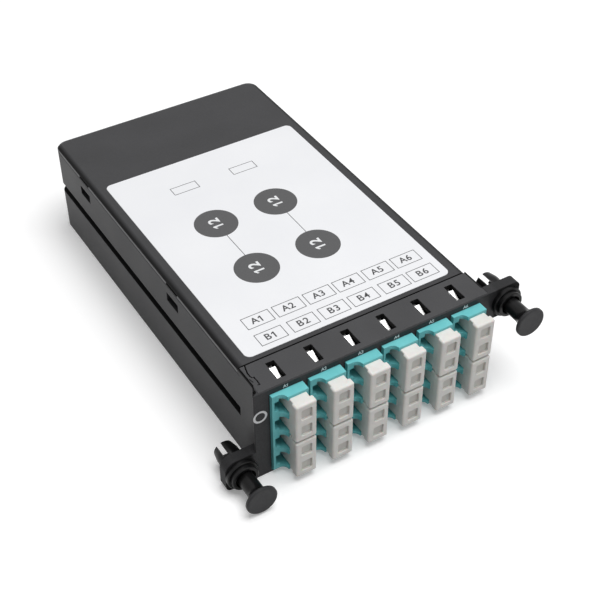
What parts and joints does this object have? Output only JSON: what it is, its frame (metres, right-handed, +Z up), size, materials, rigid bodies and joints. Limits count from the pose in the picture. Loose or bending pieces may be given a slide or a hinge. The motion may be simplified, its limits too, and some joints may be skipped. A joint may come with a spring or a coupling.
{
  "type": "fibre cassette",
  "caption": "Rack-panel fibre cassette: black moulded tray and lid, aqua quad LC adapters with dust caps in front, push fasteners in staggered ears, trunk adapters behind.",
  "frame": {"origin": "middle of the tray's base, half way along its depth", "axes": "+Z up from the base to the lid, +Y from the front panel to the rear, +X to the right seen from the front"},
  "size_m": [0.0872, 0.1367, 0.0288],
  "materials": {
    "black_plastic": "fine moulded texture, satin",
    "black_nylon": "satin",
    "label": "matt label film",
    "aqua_plastic": "semi-gloss",
    "cap_plastic": "soft satin",
    "spring_steel": "bright sheet",
    "plug_plastic": "semi-gloss",
    "aqua_jacket": "thin cable jacket"
  },
  "bodies": {
    "cassette": {"base_tray": "black_plastic", "cover_lid": "black_plastic", "front_shelf": "black_plastic", "label_sheet": "label", "lc_adapter_1": "aqua_plastic", "adapter_clip_1": "spring_steel", "lc_plugs_1": "plug_plastic", "lc_adapter_2": "aqua_plastic", "adapter_clip_2": "spring_steel", "lc_plugs_2": "plug_plastic", "lc_adapter_3": "aqua_plastic", "adapter_clip_3": "spring_steel", "lc_plugs_3": "plug_plastic", "lc_adapter_4": "aqua_plastic", "adapter_clip_4": "spring_steel", "lc_plugs_4": "plug_plastic", "lc_adapter_5": "aqua_plastic", "adapter_clip_5": "spring_steel", "lc_plugs_5": "plug_plastic", "lc_adapter_6": "aqua_plastic", "adapter_clip_6": "spring_steel", "lc_plugs_6": "plug_plastic", "left_grommet": "black_nylon", "right_grommet": "black_nylon", "mpo_adapter_a": "aqua_plastic", "mpo_plug_a": "plug_plastic", "fibre_legs_a": "aqua_jacket", "mpo_adapter_b": "aqua_plastic", "mpo_plug_b": "plug_plastic", "fibre_legs_b": "aqua_jacket"},
    "left_plunger": {"left_plunger": "black_nylon"},
    "right_plunger": {"right_plunger": "black_nylon"},
    "dust_cap_a1": {"dust_cap_a1": "cap_plastic"},
    "dust_cap_a2": {"dust_cap_a2": "cap_plastic"},
    "dust_cap_a3": {"dust_cap_a3": "cap_plastic"},
    "dust_cap_a4": {"dust_cap_a4": "cap_plastic"},
    "dust_cap_a5": {"dust_cap_a5": "cap_plastic"},
    "dust_cap_a6": {"dust_cap_a6": "cap_plastic"},
    "dust_cap_b1": {"dust_cap_b1": "cap_plastic"},
    "dust_cap_b2": {"dust_cap_b2": "cap_plastic"},
    "dust_cap_b3": {"dust_cap_b3": "cap_plastic"},
    "dust_cap_b4": {"dust_cap_b4": "cap_plastic"},
    "dust_cap_b5": {"dust_cap_b5": "cap_plastic"},
    "dust_cap_b6": {"dust_cap_b6": "cap_plastic"},
    "mpo_dust_cap_a": {"mpo_dust_cap_a": "black_nylon"},
    "mpo_dust_cap_b": {"mpo_dust_cap_b": "black_nylon"}
  },
  "joints": [
    {"name": "left_plunger_slide", "type": "slide", "parent": "cassette", "child": "left_plunger", "axis": [0, 1, 0], "range_m": [0, 0.0045]},
    {"name": "right_plunger_slide", "type": "slide", "parent": "cassette", "child": "right_plunger", "axis": [0, 1, 0], "range_m": [0, 0.0045]},
    {"name": "dust_cap_a1_pull", "type": "slide", "parent": "cassette", "child": "dust_cap_a1", "axis": [0, -1, 0], "range_m": [0, 0.012]},
    {"name": "dust_cap_a2_pull", "type": "slide", "parent": "cassette", "child": "dust_cap_a2", "axis": [0, -1, 0], "range_m": [0, 0.012]},
    {"name": "dust_cap_a3_pull", "type": "slide", "parent": "cassette", "child": "dust_cap_a3", "axis": [0, -1, 0], "range_m": [0, 0.012]},
    {"name": "dust_cap_a4_pull", "type": "slide", "parent": "cassette", "child": "dust_cap_a4", "axis": [0, -1, 0], "range_m": [0, 0.012]},
    {"name": "dust_cap_a5_pull", "type": "slide", "parent": "cassette", "child": "dust_cap_a5", "axis": [0, -1, 0], "range_m": [0, 0.012]},
    {"name": "dust_cap_a6_pull", "type": "slide", "parent": "cassette", "child": "dust_cap_a6", "axis": [0, -1, 0], "range_m": [0, 0.012]},
    {"name": "dust_cap_b1_pull", "type": "slide", "parent": "cassette", "child": "dust_cap_b1", "axis": [0, -1, 0], "range_m": [0, 0.012]},
    {"name": "dust_cap_b2_pull", "type": "slide", "parent": "cassette", "child": "dust_cap_b2", "axis": [0, -1, 0], "range_m": [0, 0.012]},
    {"name": "dust_cap_b3_pull", "type": "slide", "parent": "cassette", "child": "dust_cap_b3", "axis": [0, -1, 0], "range_m": [0, 0.012]},
    {"name": "dust_cap_b4_pull", "type": "slide", "parent": "cassette", "child": "dust_cap_b4", "axis": [0, -1, 0], "range_m": [0, 0.012]},
    {"name": "dust_cap_b5_pull", "type": "slide", "parent": "cassette", "child": "dust_cap_b5", "axis": [0, -1, 0], "range_m": [0, 0.012]},
    {"name": "dust_cap_b6_pull", "type": "slide", "parent": "cassette", "child": "dust_cap_b6", "axis": [0, -1, 0], "range_m": [0, 0.012]},
    {"name": "mpo_dust_cap_a_pull", "type": "slide", "parent": "cassette", "child": "mpo_dust_cap_a", "axis": [0, 1, 0], "range_m": [0, 0.015]},
    {"name": "mpo_dust_cap_b_pull", "type": "slide", "parent": "cassette", "child": "mpo_dust_cap_b", "axis": [0, 1, 0], "range_m": [0, 0.015]}
  ]
}
